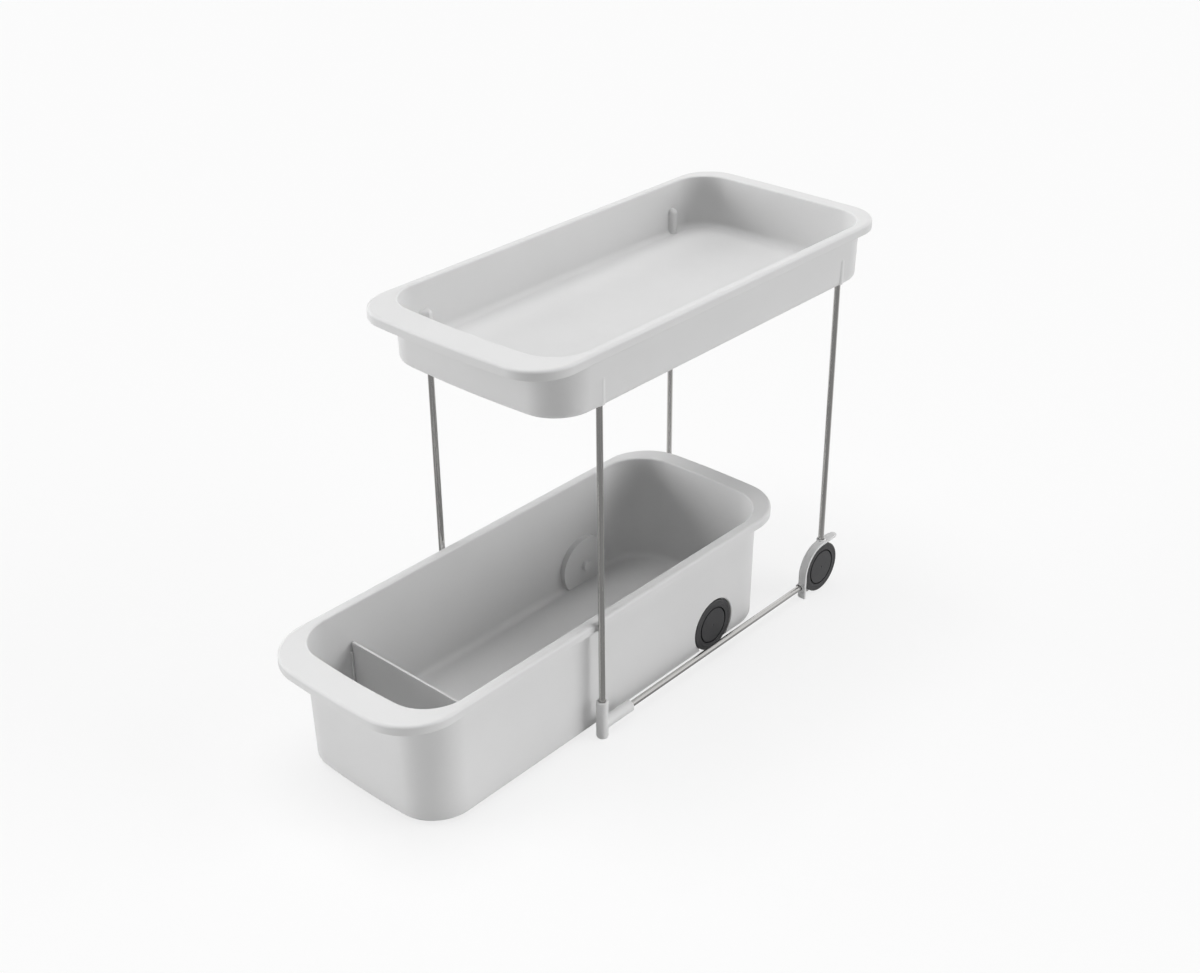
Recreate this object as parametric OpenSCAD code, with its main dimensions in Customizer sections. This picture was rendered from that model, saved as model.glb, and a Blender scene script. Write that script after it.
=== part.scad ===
// Two-tier storage caddy: a shallow tray on four rods over a deep bin that rolls out between the legs.
// Millimetres. X is the width, +Y points to the back, +Z is up.
// The origin lies on the floor, in the middle of the whole caddy with its bin as drawn.

/* [Lower bin] */
// Length of the bin over its rim
bin_l = 429; // [380:1:470]
// Width of the bin over its rim
bin_w = 162; // [140:1:190]
// Height of the bin's rim above the floor
bin_h = 102.6; // [90:0.1:125]
// Gap between the floor and the underside of the bin
bin_floor_gap = 3; // [2:0.1:6]
// Width of the bin's front flange, which is its handle
bin_front_flange = 25; // [18:0.1:30]
// Width of the bin's rear flange
bin_rear_flange = 16.5; // [10:0.1:22]
// Width of the bin's side flanges
bin_side_flange = 8.3; // [7:0.1:10]
// Radius of the bin's front corners, inside at the rim
bin_front_r = 30; // [26:0.5:36]
// Radius of the bin's rear corners, inside at the rim
bin_rear_r = 35; // [28:0.5:40]
// Radius of the bin rim's corners
bin_rim_r = 39; // [36:0.5:46]
// How far the bin's ends bow outwards
bin_bow = 4; // [1:0.1:7]
// Draft angle of the bin's walls
bin_draft = 0.8; // [0.3:0.1:1.5]
// Fillet inside the bin where the walls meet the floor
bin_floor_r = 6; // [4:0.5:10]
// Rounding outside the bin where the walls meet the underside
bin_base_r = 4; // [2:0.5:6]
// How far the bin is rolled out past the tray's rear edge
bin_out = 94; // [40:1:120]

/* [Upper tray] */
// Length of the tray over its rim
tray_l = 402; // [360:1:440]
// Height of the tray's rim above the floor
tray_top = 326; // [280:1:380]
// Outside depth of the tray, from its rim to its underside
tray_depth = 46; // [38:0.5:60]
// Reach of the tray's rim past the axes of the legs, at mid length
tray_overhang = 8.7; // [8.2:0.1:10]
// Width of the tray's front flange
tray_front_flange = 24.3; // [18:0.1:30]
// Width of the tray's rear flange
tray_rear_flange = 13.9; // [10:0.1:20]
// Width of the tray's side flanges
tray_side_flange = 7.2; // [6.6:0.1:8]
// Radius of the tray's corners, inside at the rim
tray_corner_r = 28; // [24:0.5:34]
// Radius of the tray rim's corners
tray_rim_r = 31; // [28:0.5:40]
// How far the tray's front bows outwards
tray_front_bow = 4; // [0:0.1:7]
// How far the tray's rear bows outwards
tray_rear_bow = 1.2; // [0:0.1:5]
// Draft angle of the tray's walls
tray_draft = 1.2; // [0.5:0.1:3]
// Fillet inside the tray where the walls meet the floor
tray_floor_r = 5; // [3:0.5:8]
// Rounding outside the tray where the walls meet the underside
tray_base_r = 4; // [2:0.5:6]

/* [Mouldings] */
// Wall thickness of the tray and the bin
wall_t = 2.4; // [2:0.1:3]
// Height of the turned-down lip round both rims
lip_h = 7.8; // [5:0.1:10]
// Thickness of the lip
lip_t = 2; // [1.5:0.1:2.4]
// Rounding along the outer edge of both rims
rim_round = 2.4; // [1:0.1:3]
// Rounding along the inner edge of both rims
rim_inner_round = 1.4; // [0.6:0.1:2]

/* [Legs and rails] */
// Diameter of the steel rods
rod_d = 4.9; // [4:0.1:6]
// Gap between the bin's rim and the legs on each side
bin_leg_gap = 0.9; // [0.5:0.1:3]
// Distance of the front legs behind the tray's front edge
front_leg_inset = 68.3; // [60:0.1:90]
// Distance of the rear legs before the tray's rear edge
rear_leg_inset = 53; // [48:0.1:70]
// Distance of the rear legs behind the rear axles
rear_leg_offset = 2.5; // [0:0.1:4]
// Outside radius of the leg sockets in the tray
socket_r = 3.9; // [3.7:0.1:4.6]
// Height of the sockets' domed ends above the tray's underside
socket_h = 24; // [18:0.5:28]
// Height of the sockets' lower ends above the tray's underside
socket_rise = 1.6; // [0.5:0.1:2]
// Height of the floor rails' axes
rail_z = 11.6; // [10:0.1:16]
// Gap at the blind end of each rod
rod_end_gap = 0.2; // [0.1:0.1:0.5]

/* [Front feet] */
// Outside diameter of the feet's sleeves
sleeve_d = 9.4; // [8.6:0.1:11]
// Height of the upright sleeve
sleeve_h = 33.4; // [28:0.1:45]
// Length of the level sleeve, from the leg's axis
sleeve_l = 32; // [26:0.5:45]
// Rounding at the bottom of the feet
foot_round = 2; // [1:0.1:3]
// Rounding at the open ends of the sleeves
sleeve_round = 0.6; // [0.3:0.1:1]
// Width of the recess round the rods where they enter the feet and the tray
mouth_w = 0.5; // [0.3:0.1:0.8]
// Depth of that recess
mouth_depth = 1.2; // [0.6:0.1:2]

/* [Wheels] */
// Diameter over the tyres
wheel_d = 44.2; // [41:0.1:48]
// Width of the wheels
wheel_w = 4; // [3.6:0.1:5.5]
// Thickness of the tyres
tyre_t = 3; // [2:0.1:4]
// Diameter of the hub caps
cap_d = 29.6; // [24:0.1:30.6]
// Thickness of the hub caps
cap_t = 1.1; // [0.8:0.1:1.4]
// Width of the groove round the hub caps
groove_w = 1.2; // [0.8:0.1:1.6]
// Diameter of the axle pins
axle_d = 4; // [3:0.1:5]
// Diameter of the axle pins' heads
head_d = 7; // [6.2:0.1:8]
// Thickness of the axle pins' heads
head_t = 0.9; // [0.7:0.1:1.1]
// Gap beside each wheel
wheel_side_gap = 0.4; // [0.3:0.1:0.8]
// Depth of the axle pins' seats
axle_seat = 5; // [4:0.1:5.6]

/* [Wheel housings] */
// Thickness of the plate behind each wheel
plate_t = 1.9; // [1.6:0.1:2.4]
// Thickness of the mudguard strip
guard_t = 2.2; // [1.8:0.1:3]
// Gap between a wheel and its mudguard
guard_gap = 0.5; // [0.5:0.1:2]
// Width of the mudguard strip
guard_w = 6.2; // [6:0.1:6.8]
// How far the mudguard stands out past the wheel's face
guard_reach = 1.2; // [0.8:0.1:1.4]
// Length of the mudguard behind the axle
guard_tail = 20.5; // [17:0.5:24]
// Gap between the floor and the mudguard
guard_floor_gap = 1.5; // [1:0.1:4]
// Outside radius of the bosses that hold the rods
boss_r = 3.7; // [3.6:0.1:4.2]
// Height of the bosses that hold the rods
boss_h = 1.2; // [1:0.1:3]

/* [Bin wheel wells] */
// Distance of the bin's axles before its rear edge
bin_axle_inset = 92.2; // [75:0.1:120]
// Wall thickness of the wheel wells
well_t = 2.4; // [2:0.1:3]
// Gap round the wheels in their wells
well_gap = 1.5; // [1:0.1:3]
// How far the wheels lie back from the bin's side
bin_wheel_recess = 0.2; // [0:0.1:3]

/* [Bin skids] */
// Diameter of the skids under the front of the bin
skid_d = 14; // [10:0.5:20]
// Distance between the two skids
skid_spacing = 96; // [60:1:110]
// Distance of the skids behind the bin's front edge
skid_inset = 66; // [54:0.5:90]

/* [Divider] */
// Distance of the divider behind the bin's front edge
divider_inset = 83; // [70:0.5:160]
// Thickness of the divider
divider_t = 2; // [1.6:0.1:3]
// Height of the divider
divider_h = 66; // [40:0.5:80]
// Height of the guide ribs beside the divider
guide_h = 58; // [30:0.5:76]
// Thickness of the guide ribs
guide_t = 1.4; // [1:0.1:2]
// How far the guide ribs stand out of the walls
guide_reach = 2.2; // [1.5:0.1:3]

/* [Fits] */
// Gap all round a part that is pushed into its seat
push_gap = 0.03; // [0.02:0.01:0.06]
// Gap all round an axle that turns in its hub
turn_gap = 0.05; // [0.03:0.01:0.09]
// Gap between the divider and the bin
divider_gap = 0.4; // [0.3:0.1:0.8]

/* [Hidden] */

$fn = 64;
plastic = [0.83, 0.83, 0.83];
steel = [0.72, 0.72, 0.73];
charcoal = [0.27, 0.27, 0.28];
rubber = [0.20, 0.20, 0.21];

// Overlap that keeps joined or cut faces from coinciding
lap = 0.5;

rod_r = rod_d / 2;
sleeve_r = sleeve_d / 2;
wheel_r = wheel_d / 2;
axle_r = axle_d / 2;

leg_x = bin_w / 2 + bin_leg_gap + rod_r;
whole_l = bin_l + bin_out;
tray_rear = whole_l / 2;
tray_front = tray_rear - tray_l;
bin_rear = tray_rear - bin_out;
bin_front = bin_rear - bin_l;
front_leg_y = tray_front + front_leg_inset;
rear_leg_y = tray_rear - rear_leg_inset;
rear_axle_y = rear_leg_y - rear_leg_offset;
tray_z = tray_top - tray_depth;
socket_z = tray_z + socket_rise;
socket_seat_z = tray_z + socket_h - socket_r;

guard_in_r = wheel_r + guard_gap;
guard_out_r = guard_in_r + guard_t;
guard_top = wheel_r + guard_out_r;
plate_inner_x = leg_x - rod_r;
wheel_plate_x = plate_inner_x + plate_t;
guard_x = wheel_plate_x + wheel_side_gap + wheel_w + guard_reach - guard_w;
rod_bite = guard_t * 0.7;

bin_wall_x = bin_w / 2 - bin_side_flange + wall_t;
bin_axle_y = bin_rear - bin_axle_inset;
well_r = wheel_r + well_gap;
bin_wheel_face_x = bin_wall_x - (bin_h - wheel_r) * tan(bin_draft);
bin_plate_x = bin_wheel_face_x - bin_wheel_recess - wheel_w - wheel_side_gap;
divider_y = bin_front + divider_inset;

// Moulded shells

// Points along a quarter turn of a corner with its centre at c
corner_steps = 9;
end_steps = 6;
function arc(c, r, from) =
    [for (i = [0:corner_steps]) let (a = from + 90 * i / corner_steps) c + r * [cos(a), sin(a)]];

// Points between the two ends of a straight edge
function between(p, q) = [for (i = [1:end_steps - 1]) p + (q - p) * i / end_steps];

// A footprint is [half width, front, rear, front corner radius, rear corner radius]
function grow(f, by) = [f[0] + by, f[1] - by, f[2] + by, f[3] + by, f[4] + by];

// Points of a footprint, counter-clockwise from its front right corner
function corners_and_ends(hw, front, rear, fr, rr) = concat(
    arc([hw - fr, front + fr], fr, -90),
    arc([hw - rr, rear - rr], rr, 0),
    between([hw - rr, rear], [rr - hw, rear]),
    arc([rr - hw, rear - rr], rr, 90),
    arc([fr - hw, front + fr], fr, 180),
    between([fr - hw, front], [hw - fr, front]));

// The same points at a height, with the front and rear ends bowed outwards
function ring(f, bows, z) =
    let (middle = (f[1] + f[2]) / 2)
    [for (p = corners_and_ends(f[0], f[1], f[2], f[3], f[4]))
        [p.x, p.y + (p.y < middle ? bows[0] : -bows[1]) * pow(p.x / f[0], 2), z]];

// Solid between a stack of rings, closed by its first and its last ring
module loft(rings) {
    n = len(rings[0]);
    last = len(rings) - 1;
    points = [for (r = rings, p = r) p];
    sides = [for (i = [0:last - 1], k = [0:n - 1])
        let (a = i * n + k, b = i * n + (k + 1) % n, c = b + n, d = a + n)
        each [[a, b, c], [a, c, d]]];
    polyhedron(points, concat([[for (k = [n - 1:-1:0]) k]], sides, [[for (k = [0:n - 1]) last * n + k]]));
}

// A shell is [footprint of the inner wall at the rim, footprint of the rim, front and rear bow,
// rim height, underside, draft, outer rounding, inner fillet]
tray_half_w = leg_x + tray_overhang;
tray_shell = [
    [tray_half_w - tray_side_flange, tray_front + tray_front_flange, tray_rear - tray_rear_flange,
        tray_corner_r, tray_corner_r],
    [tray_half_w, tray_front, tray_rear, tray_rim_r, tray_rim_r],
    [tray_front_bow, tray_rear_bow], tray_top, tray_z, tray_draft, tray_base_r, tray_floor_r];
bin_shell = [
    [bin_w / 2 - bin_side_flange, bin_front + bin_front_flange, bin_rear - bin_rear_flange,
        bin_front_r, bin_rear_r],
    [bin_w / 2, bin_front, bin_rear, bin_rim_r, bin_rim_r],
    [bin_bow, bin_bow], bin_h, bin_floor_gap, bin_draft, bin_base_r, bin_floor_r];

// Ring of a shell's wall, drawn in by the draft at its height
function wall_ring(s, by, z) = ring(grow(s[0], by - (s[3] - z) * tan(s[5])), s[2], z);

// Rings that round a wall into a floor at the height base
fillet_steps = 4;
function floor_rings(s, by, base, r) =
    let (start = by - (s[3] - base - r) * tan(s[5]))
    [for (i = [0:fillet_steps]) let (a = 90 * i / fillet_steps)
        ring(grow(s[0], start - r * (1 - cos(a))), s[2], base + r * (1 - sin(a)))];

edge_step = 30;
module shell_outside(s) {
    rim = s[1];
    bows = s[2];
    top = s[3];
    loft(concat(
        [for (a = [0:edge_step:90])
            ring(grow(rim, rim_round * (sin(a) - 1)), bows, top - rim_round * (1 - cos(a)))],
        [ring(rim, bows, top - lip_h), ring(grow(rim, -lip_t), bows, top - lip_h),
            ring(grow(rim, -lip_t), bows, top - wall_t), wall_ring(s, wall_t, top - wall_t)],
        floor_rings(s, wall_t, s[4], s[6])));
}

module shell_cavity(s) {
    top = s[3];
    loft(concat(
        [wall_ring(s, rim_inner_round, top + lap)],
        [for (a = [0:edge_step:90])
            wall_ring(s, rim_inner_round * (1 - sin(a)), top - rim_inner_round * (1 - cos(a)))],
        floor_rings(s, 0, s[4] + wall_t, s[7])));
}

// Calls its children at each of the four legs
module at_legs() {
    for (x = [-leg_x, leg_x], y = [front_leg_y, rear_leg_y])
        translate([x, y, 0]) children();
}

// Socket for the top of a leg, with a domed end
module leg_socket() {
    translate([0, 0, socket_z]) cylinder(r = socket_r, h = socket_seat_z - socket_z);
    translate([0, 0, socket_seat_z]) sphere(r = socket_r);
}

module upper_tray() {
    color(plastic) difference() {
        union() {
            shell_outside(tray_shell);
            at_legs() leg_socket();
        }
        difference() {
            shell_cavity(tray_shell);
            at_legs() leg_socket();
        }
        at_legs() mirror([0, 0, 1]) {
            rod_seat(-socket_seat_z, -socket_z);
            translate([0, 0, -socket_z]) cylinder(r = rod_r + mouth_w, h = socket_rise + lap);
        }
    }
}

// Calls its children at both axles of the bin, with the wheel's plate at X = 0 on each side
module at_bin_axle(side) {
    mirror([side < 0 ? 1 : 0, 0, 0]) translate([bin_plate_x, bin_axle_y, wheel_r])
        rotate([0, 90, 0]) children();
}

module at_rear_axle(side) {
    mirror([side < 0 ? 1 : 0, 0, 0]) translate([wheel_plate_x, rear_axle_y, wheel_r])
        rotate([0, 90, 0]) children();
}

// Inner wall of a wheel well with the seat of its axle
module wheel_well() {
    translate([0, 0, -well_t])
        cylinder(r = well_r + well_t, h = bin_wall_x - bin_plate_x + well_t);
    translate([0, 0, -axle_seat - well_t / 2]) cylinder(r = axle_r + well_t, h = axle_seat);
}

// Pairs of ribs that hold the divider upright
module divider_guides() {
    reach_x = bin_wall_x - wall_t - guide_reach;
    gap = divider_t / 2 + divider_gap;
    for (side = [0, 1], y = [divider_y - gap - guide_t, divider_y + gap])
        mirror([side, 0, 0]) translate([reach_x, y, bin_floor_gap])
            cube([guide_reach + wall_t, guide_t, wall_t + guide_h]);
}

// Low round skids that carry the front of the bin
module bin_skids() {
    for (x = [-skid_spacing / 2, skid_spacing / 2])
        translate([x, bin_front + skid_inset, 0]) cylinder(d = skid_d, h = bin_floor_gap + wall_t / 2);
}

module lower_bin() {
    color(plastic) difference() {
        union() {
            shell_outside(bin_shell);
            bin_skids();
        }
        difference() {
            shell_cavity(bin_shell);
            for (side = [-1, 1]) at_bin_axle(side) wheel_well();
            divider_guides();
        }
        for (side = [-1, 1]) at_bin_axle(side) {
            cylinder(r = well_r, h = bin_w);
            translate([0, 0, -axle_seat]) cylinder(r = axle_r + push_gap, h = axle_seat + lap);
        }
    }
}

module bin_divider() {
    base = bin_floor_gap + wall_t + divider_gap;
    corner = bin_floor_r + divider_gap;
    half = bin_wall_x - wall_t - divider_gap - (bin_h - base - corner) * tan(bin_draft);
    top = half + (divider_h - corner) * tan(bin_draft);
    color(plastic) translate([0, divider_y + divider_t / 2, base]) rotate([90, 0, 0])
        linear_extrude(divider_t) union() {
            polygon([[-half, corner], [half, corner], [top, divider_h], [-top, divider_h]]);
            translate([corner - half, 0]) square([2 * (half - corner), corner + lap / 10]);
            for (x = [-1, 1]) intersection() {
                translate([x * (half - corner), corner]) circle(r = corner);
                translate([x > 0 ? half - corner - lap : -half, 0]) square([corner + lap, corner]);
            }
        }
}

// Rods

module leg(x, y, from) {
    color(steel) translate([x, y, from]) cylinder(r = rod_r, h = socket_seat_z - rod_end_gap - from);
}

front_leg_z = rail_z + sleeve_r + wall_t / 2;
rear_leg_z = guard_top - rod_bite;
module front_left_leg() { leg(-leg_x, front_leg_y, front_leg_z + rod_end_gap); }
module front_right_leg() { leg(leg_x, front_leg_y, front_leg_z + rod_end_gap); }
module rear_left_leg() { leg(-leg_x, rear_leg_y, rear_leg_z + rod_end_gap); }
module rear_right_leg() { leg(leg_x, rear_leg_y, rear_leg_z + rod_end_gap); }

rail_front_y = front_leg_y + sleeve_r;
rail_rear_y = rear_axle_y - guard_out_r + rod_bite;
module rail(x) {
    color(steel) translate([x, rail_front_y + rod_end_gap, rail_z]) rotate([-90, 0, 0])
        cylinder(r = rod_r, h = rail_rear_y - rail_front_y - 2 * rod_end_gap);
}
module left_rail() { rail(-leg_x); }
module right_rail() { rail(leg_x); }

// Front feet

// Round sleeve along +Z with a rounded foot and a rounded open end
module sleeve(length, base_round) {
    rotate_extrude() polygon(concat([[0, 0]],
        [for (a = [-90:15:0]) [sleeve_r - base_round + base_round * cos(a),
            base_round + base_round * sin(a)]],
        [for (a = [0:15:90]) [sleeve_r - sleeve_round + sleeve_round * cos(a),
            length - sleeve_round + sleeve_round * sin(a)]],
        [[0, length]]));
}

// Blind bore for a rod along +Z, with a wider mouth at its open end
module rod_seat(from, to) {
    translate([0, 0, from]) cylinder(r = rod_r + push_gap, h = to - from + lap);
    translate([0, 0, to - mouth_depth]) cylinder(r = rod_r + mouth_w, h = mouth_depth + lap);
}

module foot(x) {
    color(plastic) translate([x, front_leg_y, 0]) difference() {
        union() {
            sleeve(sleeve_h, foot_round);
            translate([0, 0, rail_z]) rotate([-90, 0, 0]) sleeve(sleeve_l, foot_round);
        }
        rod_seat(front_leg_z, sleeve_h);
        translate([0, 0, rail_z]) rotate([-90, 0, 0]) rod_seat(sleeve_r, sleeve_l);
    }
}
module front_left_foot() { foot(-leg_x); }
module front_right_foot() { foot(leg_x); }

// Wheel housings, drawn about the axle

// Side view of the mudguard: an upright front, a quarter turn over the wheel and a level tail
module guard_outline(r) {
    intersection() {
        circle(r = r);
        translate([-r, 0]) square([r + lap / 10, r]);
    }
    translate([-r, guard_floor_gap - wheel_r]) square([r, wheel_r - guard_floor_gap + lap / 10]);
}

guard_round = guard_w / 2;
guard_end = guard_tail - guard_round;
module guard_profile() {
    difference() {
        guard_outline(guard_out_r);
        translate([-guard_in_r, -wheel_r - lap]) square([2 * guard_in_r, wheel_r + 2 * lap]);
        circle(r = guard_in_r);
    }
    translate([-lap / 10, guard_in_r]) square([guard_end + lap / 5, guard_t]);
}

// Strip over the wheel, with a round end to its tail
module mudguard() {
    rotate([90, 0, 90]) linear_extrude(guard_w) guard_profile();
    translate([guard_round, guard_end, guard_in_r]) cylinder(r = guard_round, h = guard_t);
}

// Plate that carries the axle: it stays behind the wheel except below the strip and at the front
module plate_profile() {
    guard_outline(guard_in_r + rod_bite);
    polygon([[-lap, guard_floor_gap - wheel_r], [wheel_r * 0.12, guard_floor_gap - wheel_r],
        [wheel_r * 0.5, 0], [wheel_r * 0.62, wheel_r * 0.6], [guard_end, guard_in_r],
        [guard_end, guard_in_r + rod_bite], [-lap, guard_in_r + rod_bite]]);
}

module housing(side) {
    color(plastic) mirror([side < 0 ? 1 : 0, 0, 0]) difference() {
        translate([0, rear_axle_y, wheel_r]) union() {
            translate([plate_inner_x, 0, 0]) rotate([90, 0, 90]) linear_extrude(plate_t) plate_profile();
            translate([guard_x, 0, 0]) mudguard();
            translate([wheel_plate_x - axle_seat, 0, 0]) rotate([0, 90, 0])
                cylinder(r = axle_r + plate_t, h = axle_seat);
            translate([leg_x, rear_leg_offset, guard_in_r + guard_t / 2])
                cylinder(r = boss_r, h = guard_t / 2 + boss_h);
            translate([leg_x, -guard_in_r - guard_t / 2, rail_z - wheel_r]) rotate([90, 0, 0])
                cylinder(r = boss_r, h = guard_t / 2 + boss_h);
        }
        translate([leg_x, rear_leg_y, rear_leg_z]) cylinder(r = rod_r + push_gap, h = guard_top);
        translate([leg_x, rail_rear_y, rail_z]) rotate([90, 0, 0])
            cylinder(r = rod_r + push_gap, h = guard_top);
        translate([wheel_plate_x - 2 * axle_seat, rear_axle_y, wheel_r]) rotate([0, 90, 0])
            cylinder(r = axle_r + push_gap, h = 2 * axle_seat + lap);
    }
}
module rear_left_housing() { housing(-1); }
module rear_right_housing() { housing(1); }

// Wheel pieces, drawn along +Z with the plate's face at Z = 0

wheel_in = wheel_side_gap;
wheel_out = wheel_in + wheel_w;
cap_floor = wheel_out - cap_t;
head_floor = cap_floor - head_t - 2 * push_gap;
hub_r = wheel_r - tyre_t;
cap_r = cap_d / 2;

// Steel pin with a flat head that keeps the hub on
module axle() {
    color(steel) {
        translate([0, 0, -axle_seat + push_gap]) cylinder(r = axle_r, h = axle_seat + head_floor);
        translate([0, 0, head_floor + push_gap]) cylinder(r = head_d / 2, h = head_t);
    }
}

// Tyre with rounded shoulders
tyre_round = 1;
module tyre() {
    color(rubber) rotate_extrude($fn = 96) translate([0, wheel_in]) polygon(concat(
        [[hub_r + push_gap, 0]],
        [for (a = [-90:15:0]) [wheel_r - tyre_round + tyre_round * cos(a),
            tyre_round + tyre_round * sin(a)]],
        [for (a = [0:15:90]) [wheel_r - tyre_round + tyre_round * cos(a),
            wheel_w - tyre_round + tyre_round * sin(a)]],
        [[hub_r + push_gap, wheel_w]]));
}

// Hub with a recess for its cap and a pocket for the pin's head
module hub() {
    bore = axle_r + turn_gap;
    pocket = head_d / 2 + wheel_side_gap;
    recess = cap_r + groove_w;
    edge = 0.4;
    color(charcoal) rotate_extrude($fn = 96) polygon([[bore, wheel_in], [hub_r, wheel_in],
        [hub_r, wheel_out - edge], [hub_r - edge, wheel_out], [recess, wheel_out],
        [recess, cap_floor], [pocket, cap_floor], [pocket, head_floor], [bore, head_floor]]);
}

// Cap with a small dimple in its middle
module hub_cap() {
    edge = 0.3;
    dimple = 0.9;
    color(charcoal) rotate_extrude($fn = 96) polygon([[0, cap_floor + push_gap],
        [cap_r, cap_floor + push_gap], [cap_r, wheel_out - edge], [cap_r - edge, wheel_out],
        [dimple, wheel_out], [0, wheel_out - dimple / 2]]);
}

module rear_left_axle() { at_rear_axle(-1) axle(); }
module rear_right_axle() { at_rear_axle(1) axle(); }
module rear_left_tyre() { at_rear_axle(-1) tyre(); }
module rear_right_tyre() { at_rear_axle(1) tyre(); }
module rear_left_hub() { at_rear_axle(-1) hub(); }
module rear_right_hub() { at_rear_axle(1) hub(); }
module rear_left_hub_cap() { at_rear_axle(-1) hub_cap(); }
module rear_right_hub_cap() { at_rear_axle(1) hub_cap(); }
module bin_left_axle() { at_bin_axle(-1) axle(); }
module bin_right_axle() { at_bin_axle(1) axle(); }
module bin_left_tyre() { at_bin_axle(-1) tyre(); }
module bin_right_tyre() { at_bin_axle(1) tyre(); }
module bin_left_hub() { at_bin_axle(-1) hub(); }
module bin_right_hub() { at_bin_axle(1) hub(); }
module bin_left_hub_cap() { at_bin_axle(-1) hub_cap(); }
module bin_right_hub_cap() { at_bin_axle(1) hub_cap(); }

upper_tray();
front_left_leg();
front_right_leg();
rear_left_leg();
rear_right_leg();
left_rail();
right_rail();
front_left_foot();
front_right_foot();
rear_left_housing();
rear_right_housing();
rear_left_axle();
rear_right_axle();
rear_left_tyre();
rear_right_tyre();
rear_left_hub();
rear_right_hub();
rear_left_hub_cap();
rear_right_hub_cap();
lower_bin();
bin_left_axle();
bin_right_axle();
bin_left_tyre();
bin_right_tyre();
bin_left_hub();
bin_right_hub();
bin_left_hub_cap();
bin_right_hub_cap();
bin_divider();
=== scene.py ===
"""Looks of the two-tier storage caddy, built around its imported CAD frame. Lengths are in metres."""
import math

import bmesh
import bpy
from mathutils import Matrix, Vector


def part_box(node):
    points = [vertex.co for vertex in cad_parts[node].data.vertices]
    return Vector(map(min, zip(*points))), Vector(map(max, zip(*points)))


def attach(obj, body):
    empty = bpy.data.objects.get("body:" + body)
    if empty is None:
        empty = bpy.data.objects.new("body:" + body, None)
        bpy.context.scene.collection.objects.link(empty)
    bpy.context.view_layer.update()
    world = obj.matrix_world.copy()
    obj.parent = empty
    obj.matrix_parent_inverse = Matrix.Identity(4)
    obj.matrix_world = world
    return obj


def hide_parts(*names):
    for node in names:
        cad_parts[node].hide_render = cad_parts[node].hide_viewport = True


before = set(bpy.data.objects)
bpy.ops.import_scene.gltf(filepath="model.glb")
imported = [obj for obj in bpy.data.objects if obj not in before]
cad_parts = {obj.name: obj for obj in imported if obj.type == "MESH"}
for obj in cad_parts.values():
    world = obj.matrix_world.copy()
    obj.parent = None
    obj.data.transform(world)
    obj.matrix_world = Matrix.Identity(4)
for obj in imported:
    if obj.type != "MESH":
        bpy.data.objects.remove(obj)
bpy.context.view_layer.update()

# Camera, solved from the photograph
PHOTO_WIDTH = 1200
FOCAL_PIXELS = 1664.5
SENSOR_WIDTH = 36.0
CAMERA_TARGET = Vector((-0.0059, 0.02765, 0.1422))
CAMERA_DISTANCE = 1.3112
CAMERA_AZIMUTH = math.radians(42.07)
CAMERA_ELEVATION = math.radians(29.23)
CAMERA_ROLL = math.radians(-0.55)

# Light and background. In reflections the studio darkens towards its unlit side, over a stretch of
# the floor and of the sky. The floor throws back more light from the pale patch round the object than
# from beyond it
BACKGROUND = 0.947
SKY = 0.09
FLOOR_BOUNCE = 0.9
FAR_BOUNCE = 0.45
PALE_PATCH = (0.4, 1)
FLOOR_GLOW = 0.8
UNLIT_SIDE = Vector((0.62, -0.78, 0)).normalized()
UNLIT_LEVEL = 0.34
FLOOR_FALL = (-0.3, 0)
SKY_FALL = (0.2, 0.75)

# Mouldings. Flanges are given for the sides, front and rear, radii and bows for front and rear
WALL = 0.0024
LIP_HEIGHT = 0.0078
LIP = 0.002
RIM_ROUND = 0.0024
RIM_INNER_ROUND = 0.0014
EDGE_ROUND = 0.0004
FINE_ROUND = 0.0002

TRAY_FLANGES = (0.0072, 0.0243, 0.0139)
TRAY_WALL_RADII = (0.028, 0.028)
TRAY_RIM_RADIUS = 0.031
TRAY_BOWS = (0.004, 0.0012)
TRAY_DRAFT = 1.2
TRAY_BASE_ROUND = 0.004
TRAY_FLOOR_ROUND = 0.005

BIN_FLANGES = (0.0083, 0.025, 0.0165)
BIN_WALL_RADII = (0.03, 0.035)
BIN_RIM_RADIUS = 0.039
BIN_BOWS = (0.004, 0.004)
BIN_DRAFT = 0.8
BIN_BASE_ROUND = 0.004
BIN_FLOOR_ROUND = 0.006

# Fineness of the meshes. The mesh rows on the sides of a shell start and end a little way from its
# corners, and the highest row on a wall lies below the rim
CORNER_STEPS = 24
END_STEPS = 14
FILLET_STEPS = 10
RIM_INNER_STEPS = 6
RIM_STEPS = 8
LIP_STEPS = 3
WHEEL_STEPS = 128
ROUND_STEPS = 96
ROD_STEPS = 64
PIN_STEPS = 48
GUARD_STEPS = 48
TRAY_SIDE_ENDS = (0.005, 0.0025)
TRAY_SIDE_STEP = 0.011
TRAY_LEVEL_STEP = 0.004
BIN_SIDE_ENDS = (0.01, 0.003)
BIN_SIDE_STEP = 0.012
BIN_LEVEL_STEP = 0.008
TOP_ROW = 0.0035
FLOOR_ROWS = (0.0006, 0.004)
VOXEL = 0.0003

# How far a cutter reaches past the surface that it opens
CUT_PAST = 0.001

# Guide ribs and skids of the bin, and its divider
GUIDE_GAP = 0.0004
GUIDE = 0.0014
GUIDE_HEIGHT = 0.058
GUIDE_REACH = 0.0022
SKID_HEIGHT = 0.003
SKID_RADIUS = 0.007
SKID_X = 0.048
SKID_INSET = 0.066
SKID_ROUND = 0.0008
DIVIDER_CORNER = 0.0064
DIVIDER_TAPER = 0.0008
DIVIDER_ROUND = 0.0005

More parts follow.
